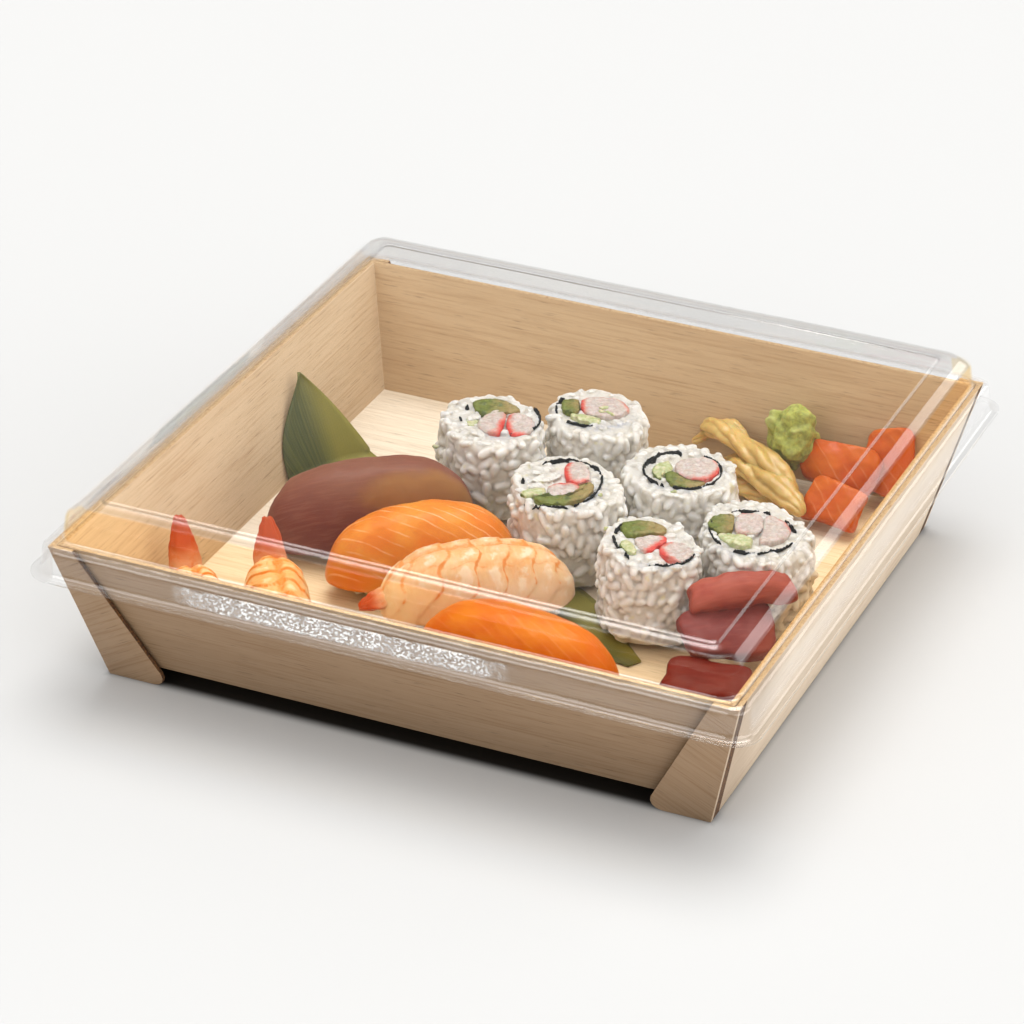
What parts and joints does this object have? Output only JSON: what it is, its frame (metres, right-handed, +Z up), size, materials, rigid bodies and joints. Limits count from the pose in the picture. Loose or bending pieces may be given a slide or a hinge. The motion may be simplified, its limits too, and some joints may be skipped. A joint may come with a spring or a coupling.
{
  "type": "takeaway sushi tray",
  "caption": "Folded wood veneer takeaway tray with a clear press-on lid, holding sushi rolls, nigiri, fish slices, pickled ginger and wasabi on a bamboo leaf.",
  "frame": {"origin": "on the ground under the middle of the tray", "axes": "+X along the front wall, +Y from the front wall to the back wall, +Z up"},
  "size_m": [0.2324, 0.2384, 0.0616],
  "materials": {
    "wood": "satin",
    "clear_plastic": "gloss",
    "leaf": "satin",
    "rice": "satin",
    "nori": "satin",
    "crab_stick": "satin",
    "avocado": "satin",
    "cucumber": "satin",
    "tuna": "satin",
    "salmon": "satin",
    "shrimp": "satin",
    "ginger": "satin",
    "wasabi": "matte"
  },
  "bodies": {
    "root": {"end_panel_left": "wood", "end_panel_right": "wood", "ginger": "ginger", "leaf": "leaf", "lid": "clear_plastic", "roll_a_avocado": "avocado", "roll_a_crab_a": "crab_stick", "roll_a_crab_b": "crab_stick", "roll_a_cucumber": "cucumber", "roll_a_nori": "nori", "roll_a_rice": "rice", "roll_b_avocado": "avocado", "roll_b_crab_a": "crab_stick", "roll_b_cucumber": "cucumber", "roll_b_nori": "nori", "roll_b_rice": "rice", "roll_c_avocado": "avocado", "roll_c_crab_a": "crab_stick", "roll_c_crab_b": "crab_stick", "roll_c_cucumber": "cucumber", "roll_c_nori": "nori", "roll_c_rice": "rice", "roll_d_avocado": "avocado", "roll_d_crab_a": "crab_stick", "roll_d_cucumber": "cucumber", "roll_d_nori": "nori", "roll_d_rice": "rice", "roll_e_avocado": "avocado", "roll_e_crab_a": "crab_stick", "roll_e_crab_b": "crab_stick", "roll_e_cucumber": "cucumber", "roll_e_nori": "nori", "roll_e_rice": "rice", "roll_f_avocado": "avocado", "roll_f_crab_a": "crab_stick", "roll_f_crab_b": "crab_stick", "roll_f_cucumber": "cucumber", "roll_f_nori": "nori", "roll_f_rice": "rice", "salmon_a_rice": "rice", "salmon_a_topping": "salmon", "salmon_b_rice": "rice", "salmon_b_topping": "salmon", "salmon_slice_a": "salmon", "salmon_slice_b": "salmon", "salmon_slice_c": "salmon", "shrimp_a_rice": "rice", "shrimp_a_topping": "shrimp", "shrimp_b_rice": "rice", "shrimp_b_topping": "shrimp", "shrimp_c_rice": "rice", "shrimp_c_topping": "shrimp", "tray_blank": "wood", "tuna_rice": "rice", "tuna_slice_a": "tuna", "tuna_slice_b": "tuna", "tuna_slice_c": "tuna", "tuna_topping": "tuna", "wasabi": "wasabi"}
  },
  "joints": []
}
